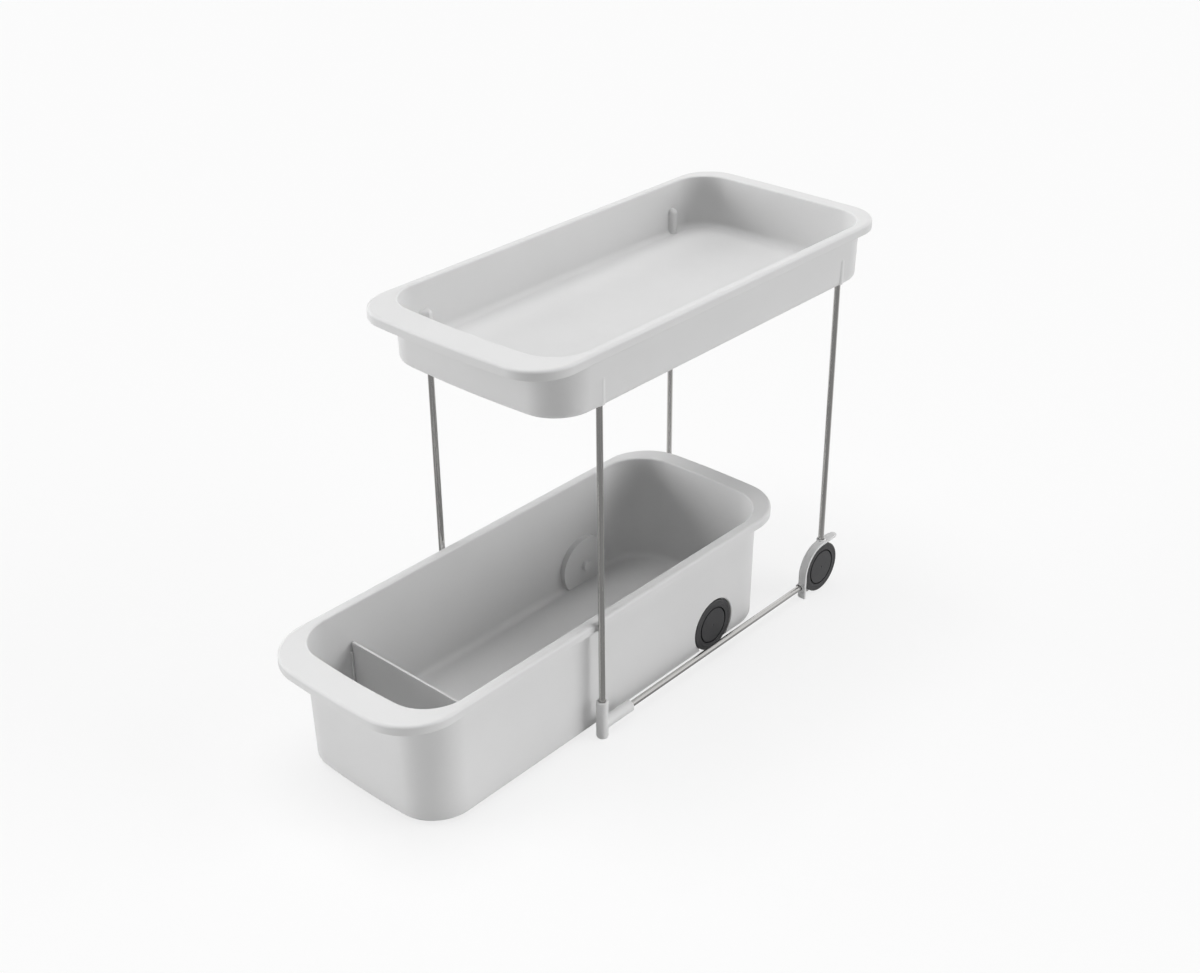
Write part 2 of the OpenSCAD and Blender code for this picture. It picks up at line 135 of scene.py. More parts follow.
# Rods, sockets and seats
SOCKET_RADIUS = 0.0039
SOCKET_HEIGHT = 0.024
SOCKET_RISE = 0.0016
SOCKET_BLEND = 0.0006
SOCKET_STEP = 0.00035
SOCKET_MARGIN = 0.0014
SOCKET_REACH = 0.01
BULGE_MARGIN = 0.002
NO_SOCKET = -0.01
PUSH_GAP = 0.00003
MOUTH_WIDTH = 0.0005
MOUTH_DEPTH = 0.0012
ROD_END_GAP = 0.0002
ROD_END_ROUND = 0.0005
SLEEVE_ROUND = 0.002
SLEEVE_MOUTH_ROUND = 0.0006

# Wheels and the wells of the bin. The dimple of a cap is given by radii and depths
CAP_THICKNESS = 0.0011
CAP_DIMPLE = ((0.0014, 0), (0.001, 0.00015), (0.0005, 0.0004), (0, 0.00045))
GROOVE_WIDTH = 0.0012
GROOVE_DEPTH = 0.0022
PIN_RADIUS = 0.002
PIN_HEAD = 0.0009
TURN_GAP = 0.00005
AXLE_SEAT = 0.005
SIDE_GAP = 0.0004
WELL_GAP = 0.0015
WELL_WALL = 0.0024
WELL_BITE = 0.4 * WALL
WELL_FLARE = 0.0004
FLARE_REACH = 0.012
TYRE_ROUND = 0.001
TYRE_LINE = 0.42
TYRE_LINE_WIDTH = 0.0001
CAP_ROUND = 0.0003

# Rear wheel housings
PLATE = 0.0019
GUARD = 0.0022
GUARD_WIDTH = 0.0062
GUARD_GAP = 0.0005
BOSS_RADIUS = 0.0037
BOSS_HEIGHT = 0.0012
ROD_BITE = 0.7 * GUARD

# Rear edge of the plate, in shares of the wheel's radius: its upper turn, and its reach at the axle
# and at the floor
PLATE_TURN = (0.62, 0.6)
PLATE_WAIST = 0.5
PLATE_FOOT = 0.12

WHEELS = ("rear_left", "rear_right", "bin_left", "bin_right")
LEGS = ("front_left", "front_right", "rear_left", "rear_right")


def make_camera():
    a, e, r = CAMERA_AZIMUTH, CAMERA_ELEVATION, CAMERA_ROLL
    back = Vector((math.sin(a) * math.cos(e), -math.cos(a) * math.cos(e), math.sin(e)))
    level_right = Vector((math.cos(a), math.sin(a), 0))
    level_up = back.cross(level_right)
    right = math.cos(r) * level_right + math.sin(r) * level_up
    up = math.cos(r) * level_up - math.sin(r) * level_right
    data = bpy.data.cameras.new("camera")
    data.sensor_fit = "HORIZONTAL"
    data.sensor_width = SENSOR_WIDTH
    data.lens = FOCAL_PIXELS / PHOTO_WIDTH * SENSOR_WIDTH
    data.clip_start = 0.05
    data.clip_end = 50
    camera = bpy.data.objects.new("camera", data)
    bpy.context.scene.collection.objects.link(camera)
    place = CAMERA_TARGET + CAMERA_DISTANCE * back
    turn = Matrix((right, up, back)).transposed().to_4x4()
    camera.matrix_world = Matrix.Translation(place) @ turn
    bpy.context.scene.camera = camera


# Mesh helpers

def new_object(name, vertices, faces):
    mesh = bpy.data.meshes.new(name)
    mesh.from_pydata(vertices, [], faces)
    shape = bpy.data.objects.new(name, mesh)
    bpy.context.scene.collection.objects.link(shape)
    b = bmesh.new()
    b.from_mesh(mesh)
    bmesh.ops.recalc_face_normals(b, faces=b.faces)
    b.to_mesh(mesh)
    b.free()
    return shape


def loft(name, rings):
    """Closed solid through a stack of rings with equally many points, capped at both ends."""
    n = len(rings[0])
    last = (len(rings) - 1) * n
    faces = [tuple(range(n - 1, -1, -1)), tuple(range(last, last + n))]
    for i in range(len(rings) - 1):
        for k in range(n):
            a, b = i * n + k, i * n + (k + 1) % n
            faces.append((a, b, b + n, a + n))
    return new_object(name, [p for ring in rings for p in ring], faces)


def revolve(name, profile, centre, direction, steps=ROUND_STEPS):
    """Solid of revolution. The profile is (radius, distance) points from axis to axis."""
    axis = Vector(direction).normalized()
    u = axis.orthogonal().normalized()
    v = axis.cross(u)
    centre = Vector(centre)
    vertices, rows = [], []
    for radius, along in profile:
        if radius < 1e-9:
            rows.append([len(vertices)])
            vertices.append(centre + along * axis)
            continue
        rows.append(list(range(len(vertices), len(vertices) + steps)))
        for i in range(steps):
            t = 2 * math.pi * i / steps
            vertices.append(centre + along * axis + radius * (math.cos(t) * u + math.sin(t) * v))
    faces = []
    pairs = list(zip(rows, rows[1:]))
    if len(rows[0]) > 1:
        pairs.append((rows[-1], rows[0]))
    for a, b in pairs:
        for i in range(steps):
            j = (i + 1) % steps
            if len(a) == 1 and len(b) > 1:
                faces.append((a[0], b[j], b[i]))
            elif len(b) == 1 and len(a) > 1:
                faces.append((a[i], a[j], b[0]))
            elif len(a) > 1:
                faces.append((a[i], a[j], b[j], b[i]))
    return new_object(name, vertices, faces)


def quarter_turn(steps):
    """Angles from 0 to 90 degrees."""
    return [math.pi / 2 * i / steps for i in range(steps + 1)]


def quarter(radius, along, edge, start, steps=5):
    """Profile points of a quarter circle about (radius, along), from the angle start."""
    angles = [math.radians(start + 90 * i / steps) for i in range(steps + 1)]
    return [(radius + edge * math.cos(a), along + edge * math.sin(a)) for a in angles]


def rod_profile(radius, length, edge):
    """Profile of a rod with rounded ends."""
    return ([(0, 0)] + quarter(radius - edge, edge, edge, -90)
            + quarter(radius - edge, length - edge, edge, 0) + [(0, length)])


def prism(name, points, along, start, end):
    """Solid of a (Y, Z) outline extruded along X, or of an (X, Y) outline along Z."""
    def place(p, t):
        return (t, p[0], p[1]) if along == "X" else (p[0], p[1], t)
    return loft(name, [[place(p, t) for p in points] for t in (start, end)])


def cut_or_join(shape, operation, others):
    """Exact boolean of one object with a list of others, which are used up."""
    group = bpy.data.collections.new("operands")
    bpy.context.scene.collection.children.link(group)
    for other in others:
        bpy.context.scene.collection.objects.unlink(other)
        group.objects.link(other)
    modifier = shape.modifiers.new("boolean", "BOOLEAN")
    modifier.operation = operation
    modifier.operand_type = "COLLECTION"
    modifier.collection = group
    modifier.solver = "EXACT"
    apply_modifiers(shape)
    for other in others:
        bpy.data.objects.remove(other)
    bpy.data.collections.remove(group)


def apply_modifiers(shape):
    graph = bpy.context.evaluated_depsgraph_get()
    mesh = bpy.data.meshes.new_from_object(shape.evaluated_get(graph))
    old = shape.data
    shape.modifiers.clear()
    shape.data = mesh
    bpy.data.meshes.remove(old)


def join(name, shapes):
    """One mesh of several overlapping solids."""
    b = bmesh.new()
    for shape in shapes:
        b.from_mesh(shape.data)
        bpy.data.objects.remove(shape)
    mesh = bpy.data.meshes.new(name)
    b.to_mesh(mesh)
    b.free()
    joined = bpy.data.objects.new(name, mesh)
    bpy.context.scene.collection.objects.link(joined)
    return joined


def melt(shape, voxel, rounds):
    """Fuses overlapping solids into one skin and softens its edges and inner corners."""
    remesh = shape.modifiers.new("remesh", "REMESH")
    remesh.mode = "VOXEL"
    remesh.voxel_size = voxel
    smooth = shape.modifiers.new("smooth", "SMOOTH")
    smooth.factor = 0.5
    smooth.iterations = rounds
    apply_modifiers(shape)


def smooth_shading(shape, angle=32):
    mesh = shape.data
    mesh.polygons.foreach_set("use_smooth", [True] * len(mesh.polygons))
    mesh.set_sharp_from_angle(angle=math.radians(angle))
    weights = shape.modifiers.new("normals", "WEIGHTED_NORMAL")
    weights.keep_sharp = True
    weights.weight = 80
    apply_modifiers(shape)


# Material helpers

class Nodes:
    """Short calls for building a node tree."""

    def __init__(self, tree):
        self.tree = tree
        tree.nodes.clear()

    def add(self, kind, **values):
        node = self.tree.nodes.new("ShaderNode" + kind)
        for key, value in values.items():
            if hasattr(node, key):
                setattr(node, key, value)
            else:
                node.inputs[key.replace("_", " ")].default_value = value
        return node

    def link(self, out, into):
        self.tree.links.new(out, into)

    def math(self, operation, a, b):
        node = self.add("Math", operation=operation)
        for socket, value in zip(node.inputs, (a, b)):
            if isinstance(value, (int, float)):
                socket.default_value = value
            else:
                self.link(value, socket)
        return node.outputs[0]


def principled(name, colour, roughness, metallic=0.0, specular=0.5):
    """A new material with a Principled shader, ready for texture nodes."""
    material = bpy.data.materials.new(name)
    material.use_nodes = True
    n = Nodes(material.node_tree)
    out = n.add("OutputMaterial")
    shader = n.add("BsdfPrincipled", Roughness=roughness, Metallic=metallic)
    shader.inputs["Base Color"].default_value = (*colour, 1)
    shader.inputs["Specular IOR Level"].default_value = specular
    n.link(shader.outputs[0], out.inputs[0])
    return material, n, shader


def noise(n, coords, scale, detail=2.0, stretch=(1, 1, 1)):
    """A noise texture on the object's own coordinates."""
    mapping = n.add("Mapping")
    mapping.inputs["Scale"].default_value = stretch
    n.link(coords, mapping.inputs[0])
    tex = n.add("TexNoise", Scale=scale, Detail=detail)
    n.link(mapping.outputs[0], tex.inputs["Vector"])
    return tex.outputs[0]


def remap(n, value, low, high, from_low=0.3, from_high=0.7):
    """A value taken from one range to another."""
    node = n.add("MapRange")
    ranges = {"From Min": from_low, "From Max": from_high, "To Min": low, "To Max": high}
    for key, number in ranges.items():
        node.inputs[key].default_value = number
    n.link(value, node.inputs[0])
    return node.outputs[0]


def mix_colours(n, factor, dark, light):
    node = n.add("Mix", data_type="RGBA")
    node.inputs[6].default_value = (*dark, 1)
    node.inputs[7].default_value = (*light, 1)
    n.link(factor, node.inputs[0])
    return node.outputs[2]


def bump(n, height, strength, distance, shader):
    node = n.add("Bump", Strength=strength, Distance=distance)
    n.link(height, node.inputs["Height"])
    n.link(node.outputs[0], shader.inputs["Normal"])


def moulded_plastic(name, colour, roughness=0.45, grain=2200, depth=0.00003, specular=0.5):
    """Satin moulded plastic: a fine even grain, faint cloudiness and slightly uneven gloss."""
    material, n, shader = principled(name, colour, roughness, specular=specular)
    coords = n.add("TexCoord").outputs["Object"]
    clouds = noise(n, coords, 14, 3)
    dark = tuple(c * 0.975 for c in colour)
    n.link(mix_colours(n, remap(n, clouds, 0, 1), dark, colour), shader.inputs["Base Color"])
    gloss = remap(n, noise(n, coords, 60, 4), roughness - 0.05, roughness + 0.06)
    n.link(gloss, shader.inputs["Roughness"])
    bump(n, noise(n, coords, grain, 2), 0.35, depth, shader)
    return material


def drawn_steel(name, colour, roughness=0.18, along=2):
    """Drawn steel: fine scratches along the length of the rod."""
    material, n, shader = principled(name, colour, roughness, 1.0)
    coords = n.add("TexCoord").outputs["Object"]
    stretch = [1.0, 1.0, 1.0]
    stretch[along] = 0.02
    scratches = noise(n, coords, 1800, 3, tuple(stretch))
    dark = tuple(c * 0.85 for c in colour)
    n.link(mix_colours(n, remap(n, scratches, 0, 1), dark, colour), shader.inputs["Base Color"])
    n.link(remap(n, scratches, roughness - 0.05, roughness + 0.1), shader.inputs["Roughness"])
    bump(n, scratches, 0.2, 0.00001, shader)
    return material


def matt_rubber(name, colour, roughness=0.6):
    """Tyre rubber: a matt skin with fine pits and dusty patches."""
    material, n, shader = principled(name, colour, roughness, specular=0.3)
    coords = n.add("TexCoord").outputs["Object"]
    dust = noise(n, coords, 90, 5)
    light = tuple(c * 1.3 + 0.004 for c in colour)
    n.link(mix_colours(n, remap(n, dust, 0, 1), colour, light), shader.inputs["Base Color"])
    n.link(remap(n, dust, roughness - 0.08, roughness + 0.1), shader.inputs["Roughness"])
    bump(n, noise(n, coords, 3200, 3), 0.4, 0.00003, shader)
    return material


GREY = (0.70, 0.70, 0.70)
STEEL = (0.64, 0.632, 0.62)
RUBBER = (0.062, 0.062, 0.063)
CHARCOAL = (0.053, 0.053, 0.055)
MATERIALS = {
    "light_grey_plastic": moulded_plastic("light_grey_plastic", GREY),
    "steel_rod": drawn_steel("steel_rod", STEEL),
    "rail_steel": drawn_steel("rail_steel", STEEL, along=1),
    "pin_steel": drawn_steel("pin_steel", STEEL, 0.3, 0),
    "tyre_rubber": matt_rubber("tyre_rubber", RUBBER),
    "charcoal_plastic": moulded_plastic("charcoal_plastic", CHARCOAL, 0.42, 2600, specular=0.3),
}


def dress(piece, node, body, slot, material=None):
    """Puts a finished piece in the place of its CAD node."""
    piece.name = node + "_piece"
    piece.data.materials.clear()
    piece.data.materials.append(MATERIALS[material or slot])
    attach(piece, body)
    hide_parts(node)


# Moulded shells

def arc(centre, radius, start, steps=CORNER_STEPS):
    """Points along a quarter turn, counter-clockwise from the angle start."""
    angles = [math.radians(start + 90 * i / steps) for i in range(steps + 1)]
    return [(centre[0] + radius * math.cos(a), centre[1] + radius * math.sin(a)) for a in angles]


def spread(start, end, steps):
    """Evenly spaced values between start and end, without both."""
    return [start + (end - start) * i / steps for i in range(1, steps)]


class Footprint:
    """Rounded rectangle with bowed ends, as seen from above."""

    def __init__(self, half, front, rear, front_r, rear_r, bows, stations):
        self.half, self.front, self.rear = half, front, rear
        self.front_r, self.rear_r = front_r, rear_r
        self.bows, self.stations = bows, stations

    def grown(self, by):
        return Footprint(self.half + by, self.front - by, self.rear + by, self.front_r + by,
                         self.rear_r + by, self.bows, self.stations)

    def ring(self, z):
        """Points counter-clockwise from the front right corner, stations along both sides included."""
        half, front, rear, fr, rr = self.half, self.front, self.rear, self.front_r, self.rear_r
        points = (arc((half - fr, front + fr), fr, -90)
                  + [(half, y) for y in self.stations]
                  + arc((half - rr, rear - rr), rr, 0)
                  + [(x, rear) for x in spread(half - rr, rr - half, END_STEPS)]
                  + arc((rr - half, rear - rr), rr, 90)
                  + [(-half, y) for y in reversed(self.stations)]
                  + arc((fr - half, front + fr), fr, 180)
                  + [(x, front) for x in spread(fr - half, half - fr, END_STEPS)])
        middle = (front + rear) / 2
        shaped = []
        for x, y in points:
            bow = self.bows[0] if y < middle else -self.bows[1]
            shaped.append((x, y + bow * (x / half) ** 2, z))
        return shaped


class Shell:
    """Drafted tub with a flat flange and a turned-down lip."""

    def __init__(self, node, flanges, wall_radii, rim_r, bows, draft, base_r, floor_r, stations,
                 lift=0):
        low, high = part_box(node)
        self.base, self.top = low.z + lift, high.z
        side, front, rear = flanges
        self.rim = Footprint(high.x, low.y, high.y, rim_r, rim_r, bows, stations)
        self.wall = Footprint(high.x - side, low.y + front, high.y - rear, *wall_radii, bows,
                              stations)
        self.slope = math.tan(math.radians(draft))
        self.base_r, self.floor_r = base_r, floor_r

    def wall_ring(self, by, z):
        return self.wall.grown(by - (self.top - z) * self.slope).ring(z)

    def rounding(self, by, base, radius):
        """Rings that round a wall into a floor, from the top of the rounding down."""
        start = by - (self.top - base - radius) * self.slope
        rings = []
        for a in quarter_turn(FILLET_STEPS):
            inset = radius * (1 - math.cos(a))
            rings.append(self.wall.grown(start - inset).ring(base + radius * (1 - math.sin(a))))
        return rings

    def flat(self, by, base, radius):
        """Rings on a floor beside its rounding, which keep the floor's shading flat."""
        start = by - (self.top - base - radius) * self.slope - radius
        return [self.wall.grown(start - inset).ring(base) for inset in FLOOR_ROWS]

    def rings(self, levels, floor_bulge=None, outside_bulge=None):
        """All rings, from the middle of the inner floor over the rim to that of the underside."""
        top = self.top
        inner_floor = self.base + WALL
        inner = self.rounding(0, inner_floor, self.floor_r)
        inner.reverse()
        foot = inner_floor + self.floor_r + EDGE_ROUND
        inner += [self.wall_ring(0, z) for z in levels if z > foot]
        if floor_bulge:
            inner = [floor_bulge(ring) for ring in inner]
        foot = self.base + self.base_r + EDGE_ROUND
        outer = [self.wall_ring(WALL, z) for z in reversed(levels) if z > foot]
        outer += self.rounding(WALL, self.base, self.base_r)
        if outside_bulge:
            outer = [outside_bulge(ring) for ring in outer]
        flange = []
        for a in quarter_turn(RIM_INNER_STEPS):
            flange.append(self.wall_ring(RIM_INNER_ROUND * (1 - math.cos(a)),
                                         top - RIM_INNER_ROUND * (1 - math.sin(a))))
        flange.append(self.wall_ring(RIM_INNER_ROUND + EDGE_ROUND, top))
        flange.append(self.rim.grown(-RIM_ROUND - EDGE_ROUND).ring(top))
        for a in quarter_turn(RIM_STEPS):
            flange.append(self.rim.grown(RIM_ROUND * (math.sin(a) - 1)).ring(
                top - RIM_ROUND * (1 - math.cos(a))))
        low = top - LIP_HEIGHT
        flange.append(self.rim.ring(low + EDGE_ROUND + FINE_ROUND))
        for shift, turn in ((EDGE_ROUND, 0), (LIP - EDGE_ROUND, math.pi / 2)):
            for a in quarter_turn(LIP_STEPS):
                flange.append(self.rim.grown(EDGE_ROUND * math.cos(a + turn) - shift).ring(
                    low + EDGE_ROUND * (1 - math.sin(a + turn))))
        flange.append(self.rim.grown(-LIP).ring(low + EDGE_ROUND + FINE_ROUND))
        flange.append(self.rim.grown(-LIP).ring(top - WALL - EDGE_ROUND))
        flange.append(self.rim.grown(-LIP - EDGE_ROUND).ring(top - WALL))
        flange.append(self.wall_ring(WALL + EDGE_ROUND, top - WALL))
        flange.append(self.wall_ring(WALL, top - WALL - EDGE_ROUND))
        return (list(reversed(self.flat(0, inner_floor, self.floor_r))) + inner + flange + outer
                + self.flat(WALL, self.base, self.base_r))


def side_stations(front, rear, coarse, fine=0.001, dense=(), width=0):
    """Y places along a side, with fine steps within a width of each dense place."""
    stations = []
    y = front
    while y < rear:
        stations.append(y)
        near = any(abs(y - place) < width for place in dense)
        ahead = min([place - width - y for place in dense if place - width > y] + [coarse])
        y += fine if near else max(ahead, fine)
    return stations


def levels_between(low, high, coarse, fine=0.001, dense=(math.inf, math.inf)):
    """Heights of the rings of a wall, with fine steps between the two dense heights."""
    levels = []
    z = low
    while z < high:
        levels.append(z)
        near = dense[0] <= z < dense[1]
        ahead = dense[0] - z if z < dense[0] else coarse
        z += fine if near else max(min(ahead, coarse), fine)
    return levels


def leg_places():
    """Axis of each leg, from the CAD rods."""
    places = {}
    for leg in LEGS:
        low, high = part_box(leg + "_leg")
        places[leg] = ((low + high) / 2, (high.x - low.x) / 2)
    return places


def make_tray():
    places = leg_places()
    rows = sorted({round(middle.y, 6) for middle, _ in places.values()})
    leg_x, rod_r = places["front_right"][0].x, places["front_right"][1]
    low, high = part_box("upper_tray")
    front = low.y + TRAY_FLANGES[1] + TRAY_WALL_RADII[0] + TRAY_SIDE_ENDS[0]
    rear = high.y - TRAY_FLANGES[2] - TRAY_WALL_RADII[1] - TRAY_SIDE_ENDS[1]
    stations = side_stations(front, rear, TRAY_SIDE_STEP, SOCKET_STEP, rows,
                             SOCKET_RADIUS + SOCKET_MARGIN)
    shell = Shell("upper_tray", TRAY_FLANGES, TRAY_WALL_RADII, TRAY_RIM_RADIUS, TRAY_BOWS,
                  TRAY_DRAFT, TRAY_BASE_ROUND, TRAY_FLOOR_ROUND, stations)
    seat = shell.base + SOCKET_HEIGHT - SOCKET_RADIUS
    bottom = shell.base + SOCKET_RISE

    def socket_half_width(y, z):
        """Half width of the nearest socket at a height, and below zero where there is none."""
        away = min(abs(y - row) for row in rows)
        radius = SOCKET_RADIUS
        if z > seat:
            radius = math.sqrt(max(SOCKET_RADIUS ** 2 - (z - seat) ** 2, 0))
        return math.sqrt(radius ** 2 - away ** 2) if away < radius else NO_SOCKET

    def near_rows(y):
        """Whether a place lies on the stretch of the side that has the sockets."""
        return rows[0] - SOCKET_REACH < y < rows[1] + SOCKET_REACH

    def blended(a, b, k):
        """The smaller of two values, with a soft change between them."""
        h = max(k - abs(a - b), 0) / k
        return min(a, b) - h * h * k / 4

    def bulge_in(ring):
        shaped = []
        for x, y, z in ring:
            edge = leg_x - socket_half_width(y, z)
            if abs(x) > leg_x - SOCKET_RADIUS - BULGE_MARGIN and near_rows(y):
                x = math.copysign(blended(abs(x), edge, SOCKET_BLEND), x)
            shaped.append((x, y, z))
        return shaped

    def bulge_out(ring):
        shaped = []
        for x, y, z in ring:
            edge = leg_x + (socket_half_width(y, z) if z > bottom else NO_SOCKET)
            if abs(x) > leg_x and near_rows(y):
                x = math.copysign(-blended(-abs(x), -edge, SOCKET_BLEND / 2), x)
            shaped.append((x, y, z))
        return shaped

    levels = levels_between(shell.base, shell.top - TOP_ROW, TRAY_LEVEL_STEP, SOCKET_STEP,
                            (seat, seat + SOCKET_RADIUS + SOCKET_BLEND))
    tray = loft("tray", shell.rings(levels, bulge_in, bulge_out))
    cutters = []
    for middle, _ in places.values():
        bore, mouth = rod_r + PUSH_GAP, rod_r + MOUTH_WIDTH
        depth = SOCKET_RISE + MOUTH_DEPTH
        end = seat - shell.base
        profile = [(0, -CUT_PAST), (mouth, -CUT_PAST), (mouth, depth), (bore, depth), (bore, end),
                   (0, end)]
        foot = (middle.x, middle.y, shell.base)
        cutters.append(revolve("bore", profile, foot, (0, 0, 1), ROD_STEPS))
    cut_or_join(tray, "DIFFERENCE", cutters)
    smooth_shading(tray)
    dress(tray, "upper_tray", "frame", "light_grey_plastic")


def wheel_frame(wheel):
    """Middle of a wheel's inner face, its outward direction, radius and width."""
    low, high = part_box(wheel + "_tyre")
    side = 1 if "right" in wheel else -1
    inner_x = low.x if side > 0 else high.x
    centre = Vector((inner_x, (low.y + high.y) / 2, (low.z + high.z) / 2))
    return centre, Vector((side, 0, 0)), (high.z - low.z) / 2, high.x - low.x


def make_bin():
    low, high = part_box("lower_bin")
    front = low.y + BIN_FLANGES[1] + BIN_WALL_RADII[0] + BIN_SIDE_ENDS[0]
    rear = high.y - BIN_FLANGES[2] - BIN_WALL_RADII[1] - BIN_SIDE_ENDS[1]
    stations = side_stations(front, rear, BIN_SIDE_STEP)
    shell = Shell("lower_bin", BIN_FLANGES, BIN_WALL_RADII, BIN_RIM_RADIUS, BIN_BOWS, BIN_DRAFT,
                  BIN_BASE_ROUND, BIN_FLOOR_ROUND, stations, SKID_HEIGHT)
    levels = levels_between(shell.base, shell.top - TOP_ROW, BIN_LEVEL_STEP)
    tub = loft("tub", shell.rings(levels))
    added, cutters = [], []
    for wheel in ("bin_left", "bin_right"):
        face, out, wheel_r, _ = wheel_frame(wheel)
        well_r = wheel_r + WELL_GAP
        plate = face.x - out.x * SIDE_GAP
        wall_x = out.x * (shell.wall.half + WELL_BITE - (shell.top - wheel_r) * shell.slope)
        floor_z = shell.base + WALL / 2
        start = math.asin((floor_z - face.z) / (well_r + WELL_WALL))
        sweep = math.pi - 2 * start
        turn = [start + sweep * i / ROUND_STEPS for i in range(ROUND_STEPS + 1)]
        outside = well_r + WELL_WALL
        points = [(face.y + outside * math.cos(a), face.z + outside * math.sin(a)) for a in turn]
        added.append(prism("well", points, "X", plate - out.x * WELL_WALL, wall_x))
        added.append(revolve("seat", rod_profile(PIN_RADIUS + WELL_WALL, AXLE_SEAT, EDGE_ROUND),
                             (plate - out.x * (AXLE_SEAT + WELL_WALL / 2), face.y, face.z), out,
                             PIN_STEPS))
        flare = abs(wall_x) + WALL - WELL_BITE - abs(plate)
        beyond = flare + FLARE_REACH - WELL_FLARE
        cutters.append(revolve("wheel_cut", [(0, 0), (well_r, 0), (well_r, flare - WELL_FLARE),
                                             (well_r + FLARE_REACH, beyond), (0, beyond)],
                               (plate, face.y, face.z), out, WHEEL_STEPS))
        pin_profile = rod_profile(PIN_RADIUS + PUSH_GAP, AXLE_SEAT + CUT_PAST, FINE_ROUND)
        pin_end = (plate - out.x * AXLE_SEAT, face.y, face.z)
        cutters.append(revolve("pin_cut", pin_profile, pin_end, out, PIN_STEPS))
    divider_low, divider_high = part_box("bin_divider")
    for side in (-1, 1):
        for y in (divider_low.y - GUIDE_GAP - GUIDE, divider_high.y + GUIDE_GAP):
            inner = side * (shell.wall.half - GUIDE_REACH)
            outer = side * (shell.wall.half + WALL / 2 - (shell.top - shell.base) * shell.slope)
            points = [(inner, y), (outer, y), (outer, y + GUIDE), (inner, y + GUIDE)]
            added.append(prism("guide", points, "Z", shell.base + WALL / 2,
                               shell.base + WALL + GUIDE_HEIGHT))
    for x in (-SKID_X, SKID_X):
        added.append(revolve("skid", rod_profile(SKID_RADIUS, SKID_HEIGHT + WALL / 2, SKID_ROUND),
                             (x, low.y + SKID_INSET, 0), (0, 0, 1), ROD_STEPS))
    cut_or_join(tub, "UNION", added)
    cut_or_join(tub, "DIFFERENCE", cutters)
    smooth_shading(tub)
    dress(tub, "lower_bin", "bin", "light_grey_plastic")


def make_divider():
    """Thin panel with rounded lower corners and a softened edge all round."""
    low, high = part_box("bin_divider")
    half = high.x
    x = half - DIVIDER_TAPER - DIVIDER_CORNER
    z = low.z + DIVIDER_CORNER
    outline = ([(half, high.z), (-half, high.z)] + arc((-x, z), DIVIDER_CORNER, 180, 12)
               + arc((x, z), DIVIDER_CORNER, 270, 12))
    rings = [[(x, y, z) for x, z in outline] for y in (low.y, high.y)]
    panel = loft("panel", rings)
    bevel = panel.modifiers.new("bevel", "BEVEL")
    bevel.width = DIVIDER_ROUND
    bevel.segments = 4
    bevel.limit_method = "ANGLE"
    bevel.angle_limit = math.radians(40)
    apply_modifiers(panel)
    smooth_shading(panel)
    dress(panel, "bin_divider", "divider", "light_grey_plastic")


# Rods, feet and housings

def make_rods():
    for leg in LEGS:
        low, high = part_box(leg + "_leg")
        radius = (high.x - low.x) / 2
        end = ((low.x + high.x) / 2, (low.y + high.y) / 2, low.z)
        profile = rod_profile(radius, high.z - low.z, ROD_END_ROUND)
        rod = revolve("rod", profile, end, (0, 0, 1), ROD_STEPS)
        smooth_shading(rod)
        dress(rod, leg + "_leg", "frame", "steel_rod")
    for side in ("left", "right"):
        low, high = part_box(side + "_rail")
        radius = (high.x - low.x) / 2
        end = ((low.x + high.x) / 2, low.y, (low.z + high.z) / 2)
        profile = rod_profile(radius, high.y - low.y, ROD_END_ROUND)
        rod = revolve("rod", profile, end, (0, 1, 0), ROD_STEPS)
        smooth_shading(rod)
        dress(rod, side + "_rail", "frame", "steel_rod", "rail_steel")


def rod_seat_cutter(start, end, direction, rod_r):
    """Cutter for a blind bore that ends at start and opens at end with a wider mouth."""
    length = (Vector(end) - Vector(start)).length
    bore, mouth = rod_r + PUSH_GAP, rod_r + MOUTH_WIDTH
    profile = [(0, 0), (bore, 0), (bore, length - MOUTH_DEPTH), (mouth, length - MOUTH_DEPTH),
               (mouth, length + 2 * CUT_PAST), (0, length + 2 * CUT_PAST)]
    return revolve("bore", profile, start, direction, ROD_STEPS)


def sleeve(length, radius, start, direction):
    """Solid sleeve with a round base and a slightly rounded mouth."""
    low, high = SLEEVE_ROUND, SLEEVE_MOUTH_ROUND
    profile = ([(0, 0)] + quarter(radius - low, low, low, -90, 8)
               + quarter(radius - high, length - high, high, 0, 5) + [(0, length)])
    return revolve("sleeve", profile, start, direction)


def make_feet():
    for side in ("left", "right"):
        node = f"front_{side}_foot"
        low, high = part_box(node)
        leg_low, leg_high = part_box(f"front_{side}_leg")
        rail_low, rail_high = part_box(f"{side}_rail")
        radius = (high.x - low.x) / 2
        x, y = (low.x + high.x) / 2, low.y + radius
        rail_z = (rail_low.z + rail_high.z) / 2
        rod_r = (leg_high.x - leg_low.x) / 2
        foot = join("foot", [
            sleeve(high.z - low.z, radius, (x, y, low.z), (0, 0, 1)),
            sleeve(high.y - y, radius, (x, y, rail_z), (0, 1, 0))])
        melt(foot, VOXEL, 6)
        cut_or_join(foot, "DIFFERENCE", [
            rod_seat_cutter((x, y, leg_low.z - ROD_END_GAP), (x, y, high.z), (0, 0, 1), rod_r),
            rod_seat_cutter((x, rail_low.y - ROD_END_GAP, rail_z), (x, high.y, rail_z),
                            (0, 1, 0), rod_r)])
        smooth_shading(foot)
        dress(foot, node, "frame", "light_grey_plastic")


